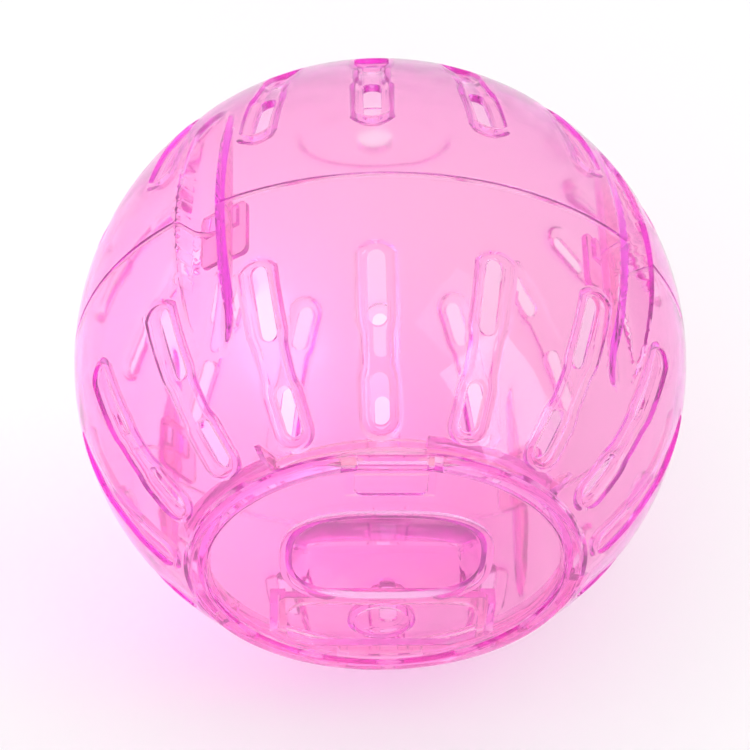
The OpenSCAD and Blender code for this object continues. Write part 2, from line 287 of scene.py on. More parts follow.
def keep(bm, name):
    """Turns a closed bmesh into an object in the scene, with its faces pointing outwards."""
    bmesh.ops.recalc_face_normals(bm, faces=bm.faces)
    if bm.calc_volume(signed=True) < 0:
        bmesh.ops.reverse_faces(bm, faces=bm.faces)
    mesh = bpy.data.meshes.new(name)
    bm.to_mesh(mesh)
    bm.free()
    obj = bpy.data.objects.new(name, mesh)
    bpy.context.scene.collection.objects.link(obj)
    return obj


def turned(obj, matrix):
    """Places an object's mesh with a matrix."""
    obj.data.transform(matrix)
    return obj


def apply_modifiers(obj):
    """Turns an object's modifiers into its mesh."""
    bpy.context.view_layer.update()
    made = bpy.data.meshes.new_from_object(obj.evaluated_get(bpy.context.evaluated_depsgraph_get()))
    obj.modifiers.clear()
    old = obj.data
    obj.data = made
    bpy.data.meshes.remove(old)


def carve(obj, tool, operation="DIFFERENCE"):
    """Cuts, joins or keeps the space of a tool, then removes the tool."""
    cut = obj.modifiers.new("carve", "BOOLEAN")
    cut.operation = operation
    cut.solver = "MANIFOLD"
    cut.object = tool
    apply_modifiers(obj)
    bpy.data.objects.remove(tool)
    return obj


def join(obj, *tools):
    """Fuses further solids to an object."""
    for tool in tools:
        carve(obj, tool, "UNION")
    return obj


def spun(name, outline, start=0, turn=360, steps=192):
    """Solid of revolution from (radius, height) points. Angles run clockwise from the hinge."""
    bm = bmesh.new()
    out = Matrix.Rotation(-math.radians(start), 4, "Z")
    verts = [bm.verts.new(out @ Vector((0, radius, height))) for radius, height in outline]
    pairs = zip(verts, verts[1:] + verts[:1])
    geom = [bm.edges.new(pair) for pair in pairs if pair[0].co.xy.length + pair[1].co.xy.length > 0]
    if turn < 360:
        geom.append(bm.faces.new(verts))
    bmesh.ops.spin(bm, geom=verts + geom, cent=(0, 0, 0), axis=(0, 0, -1), angle=math.radians(turn),
                   steps=steps, use_merge=turn == 360)
    bmesh.ops.remove_doubles(bm, verts=bm.verts, dist=SPIN_WELD)
    return keep(bm, name)


def prism(name, outline, low, high, edge=0):
    """Solid between two heights with an outline, its top and bottom edges rounded."""
    bm = bmesh.new()
    face = bm.faces.new([bm.verts.new((x, y, low)) for x, y in outline])
    made = bmesh.ops.extrude_face_region(bm, geom=[face])["geom"]
    top = [part for part in made if isinstance(part, bmesh.types.BMVert)]
    bmesh.ops.translate(bm, verts=top, vec=(0, 0, high - low))
    bmesh.ops.recalc_face_normals(bm, faces=bm.faces)
    if edge:
        rims = [e for e in bm.edges if abs(e.verts[0].co.z - e.verts[1].co.z) < edge / 10]
        bmesh.ops.bevel(bm, geom=rims, offset=edge, affect="EDGES", segments=3, profile=0.5, material=-1)
    return keep(bm, name)


def block(name, low, high, edge=0):
    """Box between two corners with rounded edges."""
    outline = [(low[0], low[1]), (high[0], low[1]), (high[0], high[1]), (low[0], high[1])]
    return prism(name, outline, low[2], high[2], edge)


def rod(name, radius, start, end, edge=0):
    """Cylinder along X, from one place to another on the hinge's axis."""
    corners = [(0, start, 0), (radius, start, edge), (radius, end, edge), (0, end, 0)]
    obj = spun(name, rounded(corners), steps=48)
    lie = Matrix.Translation((0, HINGE_Y, HINGE_Z)) @ Matrix.Rotation(math.pi / 2, 4, "Y")
    return turned(obj, lie)


def loft(name, rings):
    """Closed solid through a stack of loops with the same number of points."""
    bm = bmesh.new()
    loops = []
    for ring in rings:
        verts = [bm.verts.new(point) for point in ring]
        loops.append([bm.edges.new(pair) for pair in zip(verts, verts[1:] + verts[:1])])
    for below, above in zip(loops, loops[1:]):
        bmesh.ops.bridge_loops(bm, edges=below + above)
    for end in (loops[0], loops[-1]):
        if all(edge.calc_length() > 0 for edge in end):
            bmesh.ops.contextual_create(bm, geom=end)
    bmesh.ops.remove_doubles(bm, verts=bm.verts, dist=LOFT_WELD)
    bmesh.ops.dissolve_degenerate(bm, edges=bm.edges, dist=SHORTEST_EDGE)
    return bm


def hollow(name, outline, floor, face, floor_round, lip_round):
    """Cutter for a recess: rounded floor corner, upright wall, and a lip rolled over at the face."""
    steps = [(-floor_round * (1 - math.sin(a)), floor + floor_round * (1 - math.cos(a))) for a in QUARTER]
    steps += [(lip_round * (1 - math.cos(a)), face - lip_round * (1 - math.sin(a))) for a in QUARTER]
    steps.append((lip_round, face + PAST))
    return keep(loft(name, [[(x, y, z) for x, y in outline(grow)] for grow, z in steps]), name)


def channel_outline(grow):
    """Outline of a slot channel: arched end, waist between its slots, round end."""
    long_end = LONG_MID + LONG_SLOT / 2
    short_start = SHORT_MID - SHORT_SLOT / 2
    arch_mid = -CHANNEL_HALF + ARCH_R
    half_w = CHANNEL_W / 2 + grow
    top = arch_mid - math.sqrt((ARCH_R + grow) ** 2 - half_w**2)
    sides = []
    for along in np.linspace(top, LOW_MID, 41):
        narrow = smooth_step((along - long_end + NECK_IN / 2) / NECK_IN)
        narrow -= smooth_step((along - short_start + NECK_LEAD) / NECK_OUT)
        sides.append((half_w - narrow * (CHANNEL_W - WAIST_W) / 2, along))
    low_end = arc((0, LOW_MID), half_w, 0, 180, 16)
    corner = math.degrees(math.atan2(half_w, arch_mid - top))
    arch = arc((0, arch_mid), ARCH_R + grow, 270 - corner, 270 + corner, 8)
    left = [(-x, along) for x, along in reversed(sides)]
    return sides[:-1] + low_end[:-1] + left[:-1] + arch[:-1]


def slot_outline(grow, mid, length):
    """Outline of one slot with round ends."""
    reach = (length - SLOT_W) / 2
    radius = SLOT_W / 2 + grow
    return arc((0, mid + reach), radius, 0, 180, 12) + arc((0, mid - reach), radius, 180, 360, 12)


def oval_outline(grow, width=OVAL_W, height=OVAL_H, steps=96):
    """Oval outline, grown on every side."""
    return [((width / 2 + grow) * math.cos(2 * math.pi * i / steps),
             (height / 2 + grow) * math.sin(2 * math.pi * i / steps)) for i in range(steps)]


def on_channel(x, along, radius):
    """Point over the channel below the hinge, at a distance from the ball's centre."""
    out = math.sqrt(radius**2 - x**2 - along**2)
    return (x, out * math.cos(CHANNEL_MID) - along * math.sin(CHANNEL_MID),
            out * math.sin(CHANNEL_MID) + along * math.cos(CHANNEL_MID))


def on_pole(x, y, radius):
    """Point over the rear pole, at a distance from the ball's centre."""
    return (x, y, -math.sqrt(radius**2 - x**2 - y**2))


def smooth_step(x):
    """0 below 0, 1 above 1, and a smooth run between."""
    x = np.clip(x, 0, 1)
    return x * x * (3 - 2 * x)


def pressed_steps(depth, inset):
    """(grow, radius) steps of a pressed shape: a crisp edge and a cove outside, a soft swell inside."""
    if inset:
        steps = [(SKIN_SPREAD - (SKIN_SPREAD + SKIN_INSET) * t, BALL_R - inset - depth * smooth_step(t))
                 for t in np.linspace(SKIN_START, 1, 10)]
    else:
        steps = [(RIM_ROUND, BALL_R + RIM_ROUND / 6), (0, BALL_R - RIM_ROUND)]
        steps += [(-COVE + COVE * math.cos(a), BALL_R - depth * math.sin(a))
                  for a in np.linspace(0, math.pi / 2, 7)[1:]]
    return [(steps[0][0], BALL_R + 4 * PAST)] + steps


def pressed_loft(outline, place, steps, inmost):
    """Cutter that follows the ball through each step and closes on its own middle line."""
    rings = [[place(x, y, radius) for x, y in outline(grow)] for grow, radius in steps]
    floor = steps[-1][1]
    inner = outline(inmost)
    rings.append([place(x, y, floor) for x, y in inner])
    rings.append([place(0, y, floor) for x, y in inner])
    return rings


def round_the_half(bm, name):
    """Repeats a cutter at every slot position of the front half."""
    bmesh.ops.rotate(bm, verts=bm.verts, matrix=Matrix.Rotation(math.radians(SLOT_TURN), 3, "Z"))
    geom = list(bm.verts) + list(bm.edges) + list(bm.faces)
    bmesh.ops.spin(bm, geom=geom, cent=(0, 0, 0), axis=(0, 0, 1), use_duplicate=True,
                   angle=2 * math.pi * (SLOT_PAIRS - 1) / SLOT_PAIRS, steps=SLOT_PAIRS - 1)
    return keep(bm, name)


def channels(inset):
    """Cutter for all channels of a half, on its outer or its inner surface."""
    steps = pressed_steps(CHANNEL_DEPTH, inset)
    rings = pressed_loft(channel_outline, on_channel, steps, CHANNEL_INMOST)
    return round_the_half(loft("channels", rings), "channels")


def slots(mid, length):
    """Cutter for one slot in each channel of a half, rounded at both faces of the wall."""
    outer = BALL_R - CHANNEL_DEPTH
    inner = outer - WALL
    steps = [(SLOT_ROUND, BALL_R + PAST)]
    steps += [(SLOT_ROUND * (1 - math.sin(a)), outer - SLOT_ROUND * (1 - math.cos(a))) for a in QUARTER]
    steps += [(SLOT_ROUND * (1 - math.cos(a)), inner + SLOT_ROUND * (1 - math.sin(a))) for a in QUARTER]
    steps.append((SLOT_ROUND, inner - 2 * PAST))
    rings = [[on_channel(x, y, radius) for x, y in slot_outline(grow, mid, length)]
             for grow, radius in steps]
    return round_the_half(loft("slots", rings), "slots")


def soft_min(a, b, width):
    """The smaller of two values, blended over a width where they meet."""
    share = np.clip(0.5 + 0.5 * (b - a) / width, 0, 1)
    return b * (1 - share) + a * share - width * share * (1 - share)


def grooved_ball(name, inset):
    """Closed ball surface with the grip grooves pressed in, fine near them and coarse elsewhere."""
    bm = bmesh.new()
    bmesh.ops.create_uvsphere(bm, u_segments=128, v_segments=64, radius=BALL_R - inset)
    radius = GROOVE_R + inset
    outs = [(-math.sin(-math.radians(t)), math.cos(math.radians(t))) for t in GROOVE_TURNS]
    reach = math.sqrt(BALL_R**2 - (BALL_R - GROOVE_DEPTH) ** 2) + 2 * PAST
    for _ in range(3):
        near = []
        for edge in bm.edges:
            middle = (edge.verts[0].co + edge.verts[1].co) / 2
            if abs(middle.z) > reach or edge.calc_length() < GROOVE_EDGE:
                continue
            for out_x, out_y in outs:
                depth = middle.x * out_x + middle.y * out_y
                side = middle.x * out_y - middle.y * out_x
                if depth > 0 and abs(side) < radius + GROOVE_ROOM / 2:
                    near.append(edge)
        bmesh.ops.subdivide_edges(bm, edges=near, cuts=1, use_grid_fill=True)
    co = np.array([v.co for v in bm.verts])
    co *= ((BALL_R - inset) / np.linalg.norm(co, axis=1))[:, None]
    for out_x, out_y in outs:
        depth = co[:, 0] * out_x + co[:, 1] * out_y
        side = np.abs(co[:, 0] * out_y - co[:, 1] * out_x)
        bend = GROOVE_BEND * radius
        bowl = GROOVE_AXIS - np.sqrt(radius**2 - np.minimum(side, bend) ** 2)
        floor = bowl + np.maximum(side - bend, 0) * GROOVE_DRAFT
        near = (depth > 0) & (side < radius + GROOVE_ROOM)
        drop = np.where(near, depth - soft_min(depth, floor, GROOVE_BLEND), 0)
        co -= np.outer(drop, (out_x, out_y, 0))
    for vert, place in zip(bm.verts, co):
        vert.co = place
    return keep(bm, name)


def seam_cutter(name):
    """What is cut off below the front half, with the seam's outer edge rolled over."""
    edge = SEAM_GAP / 2
    far = BALL_R + 2 * PAST
    roll = arc((BALL_R - SEAM_ROUND, edge + SEAM_ROUND), SEAM_ROUND, -90, 0, 3)
    return spun(name, [(0, -far), (far, -far), (far, edge + SEAM_ROUND)] + roll[::-1] + [(0, edge)])


def half_shell(name):
    """Hollow front half without its door opening."""
    shell = grooved_ball(name, 0)
    carve(shell, channels(0))
    cavity = carve(grooved_ball("cavity", WALL), channels(WALL))
    carve(shell, cavity)
    carve(shell, slots(LONG_MID, LONG_SLOT))
    carve(shell, slots(SHORT_MID, SHORT_SLOT))
    return carve(shell, seam_cutter("seam"))


def front_half(shell):
    """Cuts the seat of the door ring and adds the tabs and stops that it locks behind."""
    far = BALL_R + 2 * PAST
    seat = [(0, TAB_TOP), (RABBET_R, TAB_TOP), (RABBET_R, LAND), (far, LAND), (far, far), (0, far)]
    carve(shell, spun("seat", seat))
    mid_wall = BALL_R - WALL / 2

    def tab_outline(bottom, top):
        outer = [math.sqrt(mid_wall**2 - z**2) for z in (bottom, top)]
        return rounded([(TAB_R, bottom, SMALL_ROUND), (outer[0], bottom, 0),
                        (outer[1], top, 0), (TAB_R, top, SMALL_ROUND)], 2)

    for i in range(TAB_COUNT):
        start = TAB_START + 2 * TAB_TURN * i
        stop_start = start + TAB_TURN - STOP_TURN
        tab = spun("tab", tab_outline(TAB_BOTTOM, TAB_TOP), start, TAB_TURN, 24)
        stop = spun("stop", tab_outline(LUG_BOTTOM, TAB_BOTTOM + OVER), stop_start, STOP_TURN, 2)
        join(shell, tab, stop)
    return shell


def rear_half(shell):
    """Mirrored half with its pressed pole oval, vent hole and four snap tongues."""
    shell.data.transform(Matrix.Scale(-1, 4, (0, 0, 1)))
    shell.data.flip_normals()
    inside = pressed_steps(OVAL_DEPTH, WALL)[1:]
    inside[0] = (inside[0][0], BALL_R - WALL / 2)
    rings = pressed_loft(oval_outline, on_pole, inside, OVAL_INMOST)
    lid = [[on_pole(x, y, BALL_R - WALL / 2) for x, y in oval_outline(OVAL_INMOST)]]
    lid.insert(0, [(x, 0, z) for x, y, z in lid[0]])
    join(shell, keep(loft("pole_pan", lid + rings), "pole_pan"))
    outside = pressed_loft(oval_outline, on_pole, pressed_steps(OVAL_DEPTH, 0), OVAL_INMOST)
    carve(shell, keep(loft("pole_oval", outside), "pole_oval"))
    face, back = OVAL_DEPTH - BALL_R, OVAL_DEPTH - BALL_R + WALL
    mouth = VENT_R + EDGE_ROUND
    far = -BALL_R - PAST
    carve(shell, spun("vent", [(0, far), (mouth, far), (mouth, face), (VENT_R, face + EDGE_ROUND),
                               (VENT_R, back - EDGE_ROUND), (mouth, back), (mouth, back + PAST),
                               (0, back + PAST)], steps=96))
    for turn in GROOVE_TURNS:
        half_w, half_h = TONGUE_W / 2, TONGUE_H / 2
        corners = [(x * half_w, y * half_h, TONGUE_T) for x, y in ((-1, -1), (1, -1), (1, 1), (-1, 1))]
        plate = prism("tongue", rounded(corners), TONGUE_FACE - TONGUE_T, TONGUE_FACE, EDGE_ROUND)
        foot = block("foot", (-GROOVE_R, SEAM_GAP, TONGUE_FACE - OVER),
                     (GROOVE_R, half_h - TONGUE_T, TONGUE_FACE + CLEARANCE + WALL / 2))
        stand = Matrix.Rotation(-math.radians(turn), 4, "Z") @ Matrix.Rotation(-math.pi / 2, 4, "X")
        join(shell, turned(plate, stand), turned(foot, stand))
    return shell


def door_ring():
    """Twist-in ring: rounded flange, collar with its lugs, ledge, and two hinge ears."""
    ring = spun("ring", rounded([
        (OPENING_R, LUG_BOTTOM, 0), (COLLAR_R, LUG_BOTTOM, FINE_ROUND), (COLLAR_R, RING_BOTTOM, FINE_ROUND),
        (FLANGE_R, RING_BOTTOM, EDGE_ROUND), (FLANGE_R, FLANGE_FACE, FLANGE_ROUND),
        (OPENING_R, FLANGE_FACE, FLANGE_ROUND), (OPENING_R, LEDGE_TOP, FINE_ROUND),
        (OPENING_R - LEDGE_W, LEDGE_TOP, SMALL_ROUND),
        (OPENING_R - LEDGE_W, LEDGE_TOP - LEDGE_W, SMALL_ROUND), (OPENING_R, LEDGE_TOP - 2 * LEDGE_W, 0)]))
    ears_half = EAR_NOTCH / 2 + LEFT_EAR
    gap_bottom = RING_BOTTOM - SHORT_OVER
    carve(ring, block("ear_gap", (-ears_half, 0, gap_bottom), (ears_half, BALL_R, BALL_R)))
    lug = rounded([(COLLAR_R - OVER, LUG_BOTTOM, 0), (FLANGE_R, LUG_BOTTOM, EDGE_ROUND),
                   (FLANGE_R, LUG_TOP, EDGE_ROUND), (COLLAR_R - OVER, LUG_TOP, 0)], 2)
    for i in range(TAB_COUNT):
        start = TAB_START + 2 * TAB_TURN * i + 3 * LUG_SLACK
        join(ring, spun("lug", lug, start, TAB_TURN - STOP_TURN - 4 * LUG_SLACK, 24))
    stand = Matrix(((0, 0, 1, 0), (1, 0, 0, 0), (0, 1, 0, 0), (0, 0, 0, 1)))
    dome = arc((HINGE_Y, HINGE_Z), BARREL_R, 0, 180, 12)
    outline = [(HINGE_Y - BARREL_R, RING_BOTTOM - OVER), (HINGE_Y + BARREL_R, RING_BOTTOM - OVER)] + dome
    foot_r = COLLAR_R - OVER
    for start, width in ((-ears_half, LEFT_EAR), (EAR_NOTCH / 2, RIGHT_EAR)):
        ear = turned(prism("ear", outline, start, start + width, EAR_ROUND), stand)
        trim = spun("trim", [(0, 0), (foot_r, 0), (foot_r, RING_BOTTOM), (FLANGE_R, RING_BOTTOM),
                             (FLANGE_R, BALL_R), (0, BALL_R)])
        join(ring, carve(ear, trim, "INTERSECT"))
    carve(ring, block("notch", (-EAR_NOTCH / 2, 0, gap_bottom), (EAR_NOTCH / 2, BALL_R, BALL_R)))
    carve(ring, rod("bore", STUB_R + STUB_GAP, -BALL_R / 2, BALL_R / 2))
    slot_half = NOSE_W / 2 + NOSE_GAP
    return carve(ring, block("nose_slot", (-slot_half, -COLLAR_R - CLEARANCE, PLATE_BACK - CLEARANCE),
                             (slot_half, -OPENING_R + 2 * LEDGE_W, PLATE_FACE + CLEARANCE)))


def pocket_ring(grow, z, share, steps=96):
    """Loop of the finger pocket: its slim low crease at share 0, its full-cornered mouth at share 1."""
    points = []
    for i in range(steps):
        angle = 2 * math.pi * i / steps
        corner = CORNER_HIGH if 2 * i < steps else CORNER_LOW
        across = max(-1, min(1, math.cos(angle) / math.cos(corner)))
        up = max(-1, min(1, math.sin(angle) / math.sin(corner)))
        loop = []
        for value, slim, bow, mouth, crease in ((math.cos(angle), across, 1 - up**2, POCKET_W, CREASE_W),
                                                (math.sin(angle), up, 1 - across**2, POCKET_H, CREASE_H)):
            full = math.copysign(abs(value) ** (2 / MOUTH_POWER), value) * (mouth / 2 + grow)
            slim *= crease / 2 + grow + CREASE_BOW * bow
            loop.append(slim + share * (full - slim))
        points.append((loop[0], loop[1] + POCKET_RISE - (1 - share) * CREASE_DROP, z))
    return points


def pocket(grow, top):
    """Solid of the finger pocket: a scoop from a soft crease to its mouth, then straight up."""
    floor = DOOR_FACE - POCKET_DEPTH - grow
    mouth = DOOR_FACE - grow / 2
    rings = []
    for share in (0, 0.01, 0.025, 0.045, 0.08, 0.13, 0.2, 0.3, 0.4, 0.5, 0.6, 0.7, 0.8, 0.9, 1):
        rise = (math.hypot(share, CREASE_SOFT) - CREASE_SOFT) / (math.hypot(1, CREASE_SOFT) - CREASE_SOFT)
        rings.append(pocket_ring(grow, floor + rise * (mouth - floor), share))
    rings.append(pocket_ring(grow, top, 1))
    return keep(loft("pocket", rings), "pocket")


def bead():
    """Half-round bead along the mouth of the finger pocket."""
    rings = [pocket_ring(-OVER, DOOR_FACE - OVER, 1)]
    for angle in np.linspace(math.pi, 0, 9):
        height = DOOR_FACE + BEAD_RISE * math.sin(angle)
        rings.append(pocket_ring(BEAD_W / 2 * (1 + math.cos(angle)), height, 1))
    rings.append(pocket_ring(BEAD_W, DOOR_FACE - OVER, 1))
    return keep(loft("bead", rings), "bead")


def leaf_outline(grow):
    """Outline of the shallow recess in front of the hinge, grown on every side but the hinge's."""
    half_w = LEAF_W / 2 + grow
    corner = LEAF_CORNER + grow
    return rounded([(half_w, LEAF_FROM - grow, corner), (half_w, LEAF_TO + HAIR, 0),
                    (-half_w, LEAF_TO + HAIR, 0), (-half_w, LEAF_FROM - grow, corner)])


def window_outline(grow):
    """Outline of the window over the latch, grown on every side."""
    half_w = WINDOW_W / 2 + grow
    top, bottom = grow - WINDOW_TOP, -WINDOW_BOTTOM - grow
    side = math.sqrt((WINDOW_R + grow) ** 2 - half_w**2)
    base = math.sqrt((WINDOW_R + grow) ** 2 - bottom**2)
    high, low = WINDOW_ROUND + grow, WINDOW_CORNER + grow
    return rounded([(half_w, top, high), (-half_w, top, high), (-half_w, -side, low),
                    (-base, bottom, low), (base, bottom, low), (half_w, -side, low)])


def door():
    """Door disc with hinge barrel, finger pocket, latch window, and rails behind it."""
    panel = spun("panel", rounded([(0, DOOR_BACK, 0), (DOOR_R, DOOR_BACK, EDGE_ROUND),
                                   (DOOR_R, DOOR_FACE, DOOR_ROUND), (0, DOOR_FACE, 0)]))
    half_l = BARREL_L / 2
    join(panel, block("arm", (-half_l, LEAF_TO - PAST, DOOR_BACK), (half_l, HINGE_Y, DOOR_FACE)),
         rod("barrel", BARREL_R, -half_l, half_l, SMALL_ROUND),
         rod("stubs", STUB_R, -half_l - CLEARANCE - LEFT_EAR, half_l + CLEARANCE + RIGHT_EAR, PIN_ROUND))
    behind = join(pocket(WALL, DOOR_FACE - OVER),
                  block("leaf_back", (-LEAF_W / 2 - WALL, LEAF_FROM - WALL, DOOR_BACK - LEAF_DEPTH),
                        (LEAF_W / 2 + WALL, LEAF_TO, DOOR_BACK + OVER)))
    lip_top = PLATE_BACK - CLEARANCE
    inner = PLATE_W / 2 + CLEARANCE
    for side in (-1, 1):
        for kind, near, far, top in (("web", inner, inner + WALL, DOOR_BACK + OVER),
                                     ("lip", inner - WALL, inner + OVER, lip_top)):
            left, right = sorted((side * near, side * far))
            rail = block(kind, (left, -RAIL_TO, lip_top - WALL), (right, -RAIL_FROM, top), FINE_ROUND)
            join(behind, rail)
    trim = spun("trim", [(0, 0), (BACK_R, 0), (BACK_R, BALL_R), (0, BALL_R)])
    join(panel, carve(behind, trim, "INTERSECT"), bead())
    carve(panel, pocket(0, DOOR_FACE + 2 * PAST))
    carve(panel, hollow("leaf", leaf_outline, DOOR_FACE - LEAF_DEPTH, DOOR_FACE, FINE_ROUND, FINE_ROUND))
    return carve(panel, hollow("window", window_outline, DOOR_BACK - PAST, DOOR_FACE, HAIR, EDGE_ROUND))


def latch():
    """Sliding plate with a nose that enters the ring and a dish for the thumb."""
    middle = (0, LATCH_TRAVEL)
    side = math.degrees(math.acos(PLATE_W / 2 / BACK_R))
    neck = math.degrees(math.acos(NOSE_W / 2 / BACK_R))
    tip = math.degrees(math.acos(NOSE_W / 2 / NOSE_R))
    top = [(PLATE_W / 2, -PLATE_TOP, PLATE_ROUND), (-PLATE_W / 2, -PLATE_TOP, PLATE_ROUND)]
    outline = rounded(top + [(*point, 0) for point in
                             arc(middle, BACK_R, side - 180, neck - 180, 8)
                             + arc(middle, NOSE_R, tip - 180, -tip, 12)
                             + arc(middle, BACK_R, -neck, -side, 8)])
    plate = prism("plate", outline, PLATE_BACK, PLATE_FACE, SMALL_ROUND)
    dish = Matrix.Translation((0, -DIMPLE_Y, 0))
    low = PLATE_FACE - DIMPLE_DEPTH - DIMPLE_WALL
    cup_r = DIMPLE_R + DIMPLE_WALL
    cup = spun("cup", rounded([(0, low, 0), (cup_r, low, CUP_ROUND), (cup_r, PLATE_BACK + OVER, 0),
                               (0, PLATE_BACK + OVER, 0)]), steps=64)
    join(plate, turned(cup, dish))

    def circle(grow):
        return oval_outline(grow, 2 * DIMPLE_R, 2 * DIMPLE_R, 64)

    floor = PLATE_FACE - DIMPLE_DEPTH
    return carve(plate, turned(hollow("dish", circle, floor, PLATE_FACE, DIMPLE_ROUND, EDGE_ROUND), dish))


def values(items, attribute, width, kind):
    """Array of one attribute of a mesh's vertices, corners or faces."""
    array = np.empty(len(items) * width, kind)
    items.foreach_get(attribute, array)
    return array.reshape(-1, width) if width > 1 else array


def set_sphere_normals(mesh, spheres):
    """Exact normals on the faces that lie wholly on one of the spheres."""
    normals = values(mesh.corner_normals, "vector", 3, np.float32)
    corner = values(mesh.loops, "vertex_index", 1, np.int32)
    co = values(mesh.vertices, "co", 3, np.float32)
    face_normals = values(mesh.polygons, "normal", 3, np.float32)
    totals = values(mesh.polygons, "loop_total", 1, np.int32)
    radius = np.linalg.norm(co, axis=1)
    face_of = np.repeat(np.arange(len(totals)), totals)
    unit = (co / radius[:, None])[corner]
    lean = np.einsum("ij,ij->i", unit, face_normals[face_of])
    for sphere in spheres:
        on_it = np.abs(radius[corner] - sphere) < SPHERE_MARGIN
        whole = np.bincount(face_of, ~on_it) == 0
        pick = whole[face_of] & (np.abs(lean) > SPHERE_LEAN)
        normals[pick] = unit[pick] * np.sign(lean[pick])[:, None]
    mesh.normals_split_custom_set(normals)


def shade(obj, spheres=()):
    """Smooth shading with crisp edges, and exact normals where the surface lies on a sphere."""
    obj.data.shade_smooth()
    obj.data.set_sharp_from_angle(angle=SHARP_ANGLE)
    weigh = obj.modifiers.new("weigh", "WEIGHTED_NORMAL")
    weigh.keep_sharp = True
    apply_modifiers(obj)
    if spheres:
        set_sphere_normals(obj.data, spheres)


def add_node(nodes, kind, operation=None, **inputs):
    """Node with its operation and its named inputs set."""
    node = nodes.new(kind)
    if operation:
        node.operation = operation
    for name, value in inputs.items():
        node.inputs[name.replace("_", " ").title()].default_value = value
    return node


def link_all(links, pairs):
    """Links each output socket to its input socket."""
    for source, target in pairs:
        links.new(source, target)


def moulded_finish():
    """Node group for moulded plastic: slow waves from the mould, fine scuffs, and a softer rear."""
    group = bpy.data.node_groups.new("moulded_finish", "ShaderNodeTree")
    for name in ("Gloss", "Scuff", "Soft"):
        group.interface.new_socket(name, in_out="INPUT", socket_type="NodeSocketFloat")
    for name in ("Roughness", "Height"):
        group.interface.new_socket(name, in_out="OUTPUT", socket_type="NodeSocketFloat")
    nodes = group.nodes
    inp = nodes.new("NodeGroupInput").outputs
    out = nodes.new("NodeGroupOutput").inputs
    point = nodes.new("ShaderNodeTexCoord").outputs["Object"]
    waves = add_node(nodes, "ShaderNodeTexNoise", scale=70, detail=1)
    streak = add_node(nodes, "ShaderNodeMapping", scale=(1, 0.12, 1))
    scuffs = add_node(nodes, "ShaderNodeTexNoise", scale=1400, detail=4)
    patches = add_node(nodes, "ShaderNodeTexNoise", scale=45)
    worn = add_node(nodes, "ShaderNodeMapRange", from_min=0.5, from_max=0.8)
    spread = add_node(nodes, "ShaderNodeMath", "MULTIPLY")
    scaled = add_node(nodes, "ShaderNodeMath", "MULTIPLY_ADD")
    place = nodes.new("ShaderNodeSeparateXYZ")
    rear = add_node(nodes, "ShaderNodeMapRange", from_min=REAR_FROM, from_max=REAR_TO)
    softer = add_node(nodes, "ShaderNodeMath", "MULTIPLY_ADD")
    swell = add_node(nodes, "ShaderNodeMapRange", from_min=REAR_FROM, from_max=REAR_TO,
                     to_min=1, to_max=REAR_SWELL)
    height = add_node(nodes, "ShaderNodeMath", "MULTIPLY")
    link_all(group.links, (
        (point, waves.inputs["Vector"]), (point, streak.inputs["Vector"]),
        (point, patches.inputs["Vector"]), (point, place.inputs["Vector"]),
        (streak.outputs["Vector"], scuffs.inputs["Vector"]),
        (scuffs.outputs["Fac"], worn.inputs["Value"]),
        (worn.outputs["Result"], spread.inputs[0]),
        (patches.outputs["Fac"], spread.inputs[1]),
        (spread.outputs["Value"], scaled.inputs[0]),
        (inp["Scuff"], scaled.inputs[1]),
        (inp["Gloss"], scaled.inputs[2]),
        (place.outputs["Y"], rear.inputs["Value"]),
        (rear.outputs["Result"], softer.inputs[0]),
        (inp["Soft"], softer.inputs[1]),
        (scaled.outputs["Value"], softer.inputs[2]),
        (softer.outputs["Value"], out["Roughness"]),
        (place.outputs["Y"], swell.inputs["Value"]),
        (waves.outputs["Fac"], height.inputs[0]),
        (swell.outputs["Result"], height.inputs[1]),
        (height.outputs["Value"], out["Height"])))
    return group


FINISH = moulded_finish()


def clear_plastic(name, tint, density, soft=0.0):
    """Clear dyed plastic: glossy skin, colour that deepens with thickness, and a tinted shade."""
    mat = bpy.data.materials.new(name)
    mat.use_nodes = True
    nodes = mat.node_tree.nodes
    out = nodes["Material Output"]
    skin = nodes["Principled BSDF"]
    skin.inputs["Base Color"].default_value = (*tint, 1)
    skin.inputs["Transmission Weight"].default_value = 1 - HAZE
    skin.inputs["IOR"].default_value = REFRACTION
    finish = nodes.new("ShaderNodeGroup")
    finish.node_tree = FINISH
    for socket, value in (("Gloss", GLOSS), ("Scuff", SCUFF), ("Soft", soft)):
        finish.inputs[socket].default_value = value
    bump = add_node(nodes, "ShaderNodeBump", strength=WAVE_STRENGTH, distance=WAVE_DEPTH)
    shade_through = add_node(nodes, "ShaderNodeBsdfTransparent", color=(*SHADE_TINT, 1))
    absorb = add_node(nodes, "ShaderNodeVolumeAbsorption", color=(*DYE, 1), density=density)
    path = nodes.new("ShaderNodeLightPath")
    mix = nodes.new("ShaderNodeMixShader")
    link_all(mat.node_tree.links, (
        (finish.outputs["Roughness"], skin.inputs["Roughness"]),
        (finish.outputs["Height"], bump.inputs["Height"]),
        (bump.outputs["Normal"], skin.inputs["Normal"]),
        (path.outputs["Is Shadow Ray"], mix.inputs["Fac"]),
        (skin.outputs["BSDF"], mix.inputs[1]),
        (shade_through.outputs["BSDF"], mix.inputs[2]),
        (mix.outputs["Shader"], out.inputs["Surface"]),
        (absorb.outputs["Volume"], out.inputs["Volume"])))
    return mat


